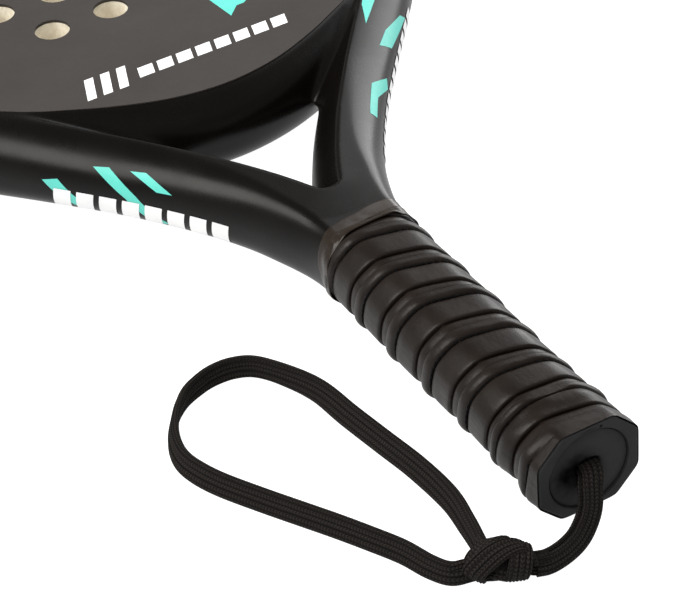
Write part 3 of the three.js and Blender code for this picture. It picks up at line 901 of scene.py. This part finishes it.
def eva_foam():
    """Cream foam with cut cells, seen in the walls of the holes."""
    look = Look("cream_foam", (0.8, 0.75, 0.62), 0.92)
    look.tint(look.noise(260, 4), [(0.3, (0.62, 0.56, 0.44)), (0.7, (0.86, 0.81, 0.69))])
    look.bump([(look.cells(900), 0.00012), (look.noise(2500, 2), 0.00005)])
    return look.material


def handle_foam():
    """Yellowish moulded foam with a skin."""
    look = Look("moulded_foam", (0.55, 0.48, 0.3), 0.9)
    look.tint(look.noise(120, 4), [(0.3, (0.47, 0.40, 0.25)), (0.7, (0.6, 0.53, 0.34))])
    look.bump([(look.cells(1200), 0.0001)])
    return look.material


def cap_plastic():
    """Matt dark grey plastic."""
    look = Look("dark_grey_plastic", (0.018, 0.018, 0.0185), 0.5, Specular_IOR_Level=0.08)
    # Painted shade: the cord's shadow round its hole is painted as a dark, dull patch that fades out.
    away = look.tree.nodes.new("ShaderNodeVectorMath")
    away.operation = "DISTANCE"
    away.inputs[1].default_value = row((-4.6, CAP_DISC_DEPTH, -1.0)).tolist()
    look.link(look.space.outputs["Object"], away.inputs[0])
    near = look.between(away.outputs["Value"], -0.5, 0.0, from_low=0.0035, from_high=0.012)
    both = look.tree.nodes.new("ShaderNodeMath")
    look.link(look.noise(120, 3), both.inputs[0])
    look.link(near, both.inputs[1])
    stops = [(0.0, (0.003, 0.003, 0.003)), (0.3, (0.0200, 0.0200, 0.0205)), (0.7, (0.0240, 0.0240, 0.0247))]
    look.tint(both.outputs[0], stops)
    shine = look.between(away.outputs["Value"], 0.0, 0.08, from_low=0.004, from_high=0.012)
    look.link(shine, look.shader.inputs["Specular IOR Level"])
    look.rough(look.noise(300, 4), 0.5, 0.62)
    look.bump([(look.noise(2200, 3), 0.00003)])
    return look.material


def staple_steel():
    """Drawn steel wire."""
    look = Look("steel_wire", (0.6, 0.6, 0.62), 0.35, Metallic=1.0)
    look.rough(look.noise(800, 3, stretch=(1, 8, 1)), 0.26, 0.45)
    return look.material


def grip_leather():
    """Semi-gloss brown-black leather with a fine grain and soft creases."""
    look = Look("brown_black_leather", (0.012, 0.009, 0.007), 0.36, Specular_IOR_Level=0.34)
    look.tint(look.noise(70, 5), [(0.3, (0.0062, 0.0040, 0.0028)), (0.7, (0.0115, 0.0080, 0.0060))])
    look.rough(look.noise(150, 5), 0.3, 0.42)
    look.bump([(look.cells(1500), 0.00004), (look.noise(260, 4, stretch=(1, 0.4, 1)), 0.0002)])
    return look.material


def tape_vinyl():
    """Glossy brown-black tape, stretched into faint ripples."""
    look = Look("brown_vinyl_tape", (0.022, 0.014, 0.010), 0.24)
    look.tint(look.noise(60, 4), [(0.3, (0.0110, 0.0072, 0.0048)), (0.7, (0.0200, 0.0135, 0.0092))])
    look.rough(look.noise(200, 4), 0.16, 0.32)
    look.bump([(look.noise(160, 3, stretch=(1, 0.35, 1)), 0.00005)])
    return look.material


def cord_braid():
    """Black braid whose plaited ribs run along the cord."""
    look = Look("black_polyester_braid", (0.014, 0.012, 0.0115), 0.8, Specular_IOR_Level=0.18)
    split = look.tree.nodes.new("ShaderNodeSeparateXYZ")
    look.link(look.space.outputs["UV"], split.inputs["Vector"])

    def math_node(operation, first, second):
        """The result of a sum on two sockets or numbers."""
        node = look.tree.nodes.new("ShaderNodeMath")
        node.operation = operation
        for value, socket in ((first, node.inputs[0]), (second, node.inputs[1])):
            if isinstance(value, float):
                socket.default_value = value
            else:
                look.link(value, socket)
        return node.outputs[0]

    # Each rib is a plait: yarns slope one way up to its middle and the other way after it.
    in_rib = math_node("PINGPONG", split.outputs["Y"], RIB_WIDTH / 2)
    slant = math_node("ADD", split.outputs["X"], math_node("MULTIPLY", in_rib, 1.3))
    yarn = math_node("PINGPONG", slant, 0.55)
    # Painted shade: the grooves between the ribs and between the yarns are painted dark, and the same
    # pattern drives the bump.
    groove = look.between(in_rib, 0.05, 1.0, from_low=0.04, from_high=0.32)
    shade = math_node("MULTIPLY", groove, look.between(yarn, 0.2, 1.0, from_low=0.1, from_high=0.4))
    look.tint(shade, [(0.0, (0.0016, 0.0013, 0.0012)), (1.0, (0.0190, 0.0158, 0.0138))])
    look.bump([(shade, 0.00018), (look.noise(4000, 2), 0.00005)])
    return look.material


def ink(name, color, roughness, specular=0.5):
    """One plain colour, a little uneven, for the prints and the thread."""
    look = Look(name, color, roughness, Specular_IOR_Level=specular)
    shade = tuple(0.9 * c for c in color)
    look.tint(look.noise(90, 3), [(0.3, shade), (0.7, color)])
    look.rough(look.noise(300, 4), roughness - 0.06, roughness + 0.06)
    look.bump([(look.noise(1200, 3), 0.00002)])
    return look.material


FINISH = {
    "painted_frame": painted_frame(),
    "face_laminate": face_laminate(),
    "eva_foam": eva_foam(),
    "handle_foam": handle_foam(),
    "cap_plastic": cap_plastic(),
    "staple_steel": staple_steel(),
    "grip_leather": grip_leather(),
    "finishing_tape": tape_vinyl(),
    "cord_braid": cord_braid(),
}
WHITE_INK = ink("white_ink", (0.82, 0.82, 0.82), 0.45)
THREAD = ink("black_thread", (0.003, 0.003, 0.0034), 0.7, specular=0.04)
TEAL_INK = ink("teal_ink", (0.10, 0.58, 0.49), 0.42)

KEPT_NODES = {
    "handle_pallet_front": "handle_foam",
    "handle_pallet_rear": "handle_foam",
    "cap_staple_left": "staple_steel",
    "cap_staple_right": "staple_steel",
    "cord_stop_knot": "cord_braid",
}


# ---------------------------------------------------------------- stage
def camera():
    """Looks down along the handle from the butt end."""
    azimuth, elevation, roll = (math.radians(v) for v in CAMERA_TURN)
    right = Vector((math.cos(azimuth), -math.sin(azimuth), 0))
    forward = Vector((math.sin(azimuth) * math.cos(elevation), math.cos(azimuth) * math.cos(elevation),
                      -math.sin(elevation)))
    up = right.cross(forward)
    turned = right * math.cos(roll) + up * math.sin(roll)
    upward = up * math.cos(roll) - right * math.sin(roll)
    data = bpy.data.cameras.new("camera")
    data.lens = CAMERA_LENS
    data.sensor_width = 36
    data.clip_start = 0.05
    eye = bpy.data.objects.new("camera", data)
    aim = Matrix((turned, upward, -forward)).transposed().to_4x4()
    eye.matrix_world = Matrix.Translation(CAMERA_AT) @ aim
    bpy.context.scene.collection.objects.link(eye)
    bpy.context.scene.camera = eye


def floor():
    """A plain white sweep. It glows, so it shows no shadows, and the lacquer does not mirror it."""
    mesh = bpy.data.meshes.new("floor")
    corners = [(FLOOR_HALF * x, FLOOR_HALF * y, FLOOR_Z) for x, y in ((-1, -1), (1, -1), (1, 1), (-1, 1))]
    mesh.from_pydata(corners, [], [(0, 1, 2, 3)])
    piece = bpy.data.objects.new("floor", mesh)
    bpy.context.scene.collection.objects.link(piece)
    look = Look("pale_floor", (0.28, 0.28, 0.28), 0.7)
    look.set("Emission Color", (1, 1, 1, 1))
    look.set("Emission Strength", 1.0)
    look.rough(look.noise(8, 2), 0.68, 0.75)
    mesh.materials.append(look.material)
    piece.visible_glossy = False


def area_light(name, at, size, power, color):
    """A softbox that faces the racket's middle."""
    data = bpy.data.lights.new(name, "AREA")
    data.shape = "RECTANGLE"
    data.size, data.size_y = size
    data.energy = power
    data.color = color
    lamp = bpy.data.objects.new(name, data)
    lamp.location = at
    lamp.rotation_mode = "QUATERNION"
    lamp.rotation_quaternion = (-Vector(at)).to_track_quat("-Z", "Y")
    bpy.context.scene.collection.objects.link(lamp)


def surroundings():
    """The studio round the racket: its brightness depends only on height."""
    world = bpy.data.worlds.new("studio")
    world.use_nodes = True
    tree = world.node_tree
    place = tree.nodes.new("ShaderNodeTexCoord")
    split = tree.nodes.new("ShaderNodeSeparateXYZ")
    height = tree.nodes.new("ShaderNodeMapRange")
    height.inputs["From Min"].default_value = -1
    ramp = tree.nodes.new("ShaderNodeValToRGB")
    tree.links.new(place.outputs["Generated"], split.inputs["Vector"])
    tree.links.new(split.outputs["Z"], height.inputs["Value"])
    tree.links.new(height.outputs["Result"], ramp.inputs["Fac"])
    tree.links.new(ramp.outputs["Color"], tree.nodes["Background"].inputs["Color"])
    for element, (position, level) in zip(ramp.color_ramp.elements, SKY[:2]):
        element.position = (position + 1) / 2
        element.color = (level, level, level, 1)
    for position, level in SKY[2:]:
        ramp.color_ramp.elements.new((position + 1) / 2).color = (level, level, level, 1)
    bpy.context.scene.world = world


def lights():
    """A broad overhead light, which leaves no highlight of its own, and the softboxes that do."""
    surroundings()
    sun = bpy.data.lights.new("overhead_softbox", "SUN")
    sun.energy = SUN_POWER
    sun.angle = math.radians(SUN_SPREAD)
    lamp = bpy.data.objects.new("overhead_softbox", sun)
    lamp.rotation_euler = (math.radians(-14), math.radians(-10), 0)
    lamp.visible_glossy = False
    bpy.context.scene.collection.objects.link(lamp)
    for name, (at, size, power, color) in SOFTBOXES.items():
        area_light(name, at, size, power, color)
    bpy.context.scene.view_settings.view_transform = "Standard"


# ---------------------------------------------------------------- assembly
camera()

loop, loop_line, loop_at = cord_loop()
lead, lead_line, lead_at = cord_lead()
knot = cord_knot()

body = frame_body()
core_top = HALF - SKIN - CORE_GAP
drilled_plate("face_skin", 0.0, HALF - SKIN, HALF, SKIN_BEVEL, "face_laminate", "front_face")
drilled_plate("rear_skin", 0.0, -HALF, SKIN - HALF, SKIN_BEVEL, "face_laminate", "rear_face")
drilled_plate("foam_core", CORE_INSET, -core_top, core_top, CORE_BEVEL, "eva_foam", "eva_core")
grip_wrap()
grip_stitches()
finishing_tape(body)
butt_cap()
gate_mark()

face_print("face_bars", [bar for line in FACE_BARS for bar in bars(*line)], WHITE_INK)
face_print("face_chips", FACE_CHIPS, TEAL_INK)
for side, name in ((-1, "left"), (1, "right")):
    arm_print(f"{name}_arm_chips", body, side, ARM_CHIPS[name], TEAL_INK, CHIP_PROUD)
    arm_print(f"{name}_arm_bars", body, side, bars(*ARM_BARS[name]), WHITE_INK, BAR_PROUD)

for node, slot in KEPT_NODES.items():
    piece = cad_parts[node]
    for place in piece.material_slots:
        place.material = FINISH[slot]

floor()
lights()
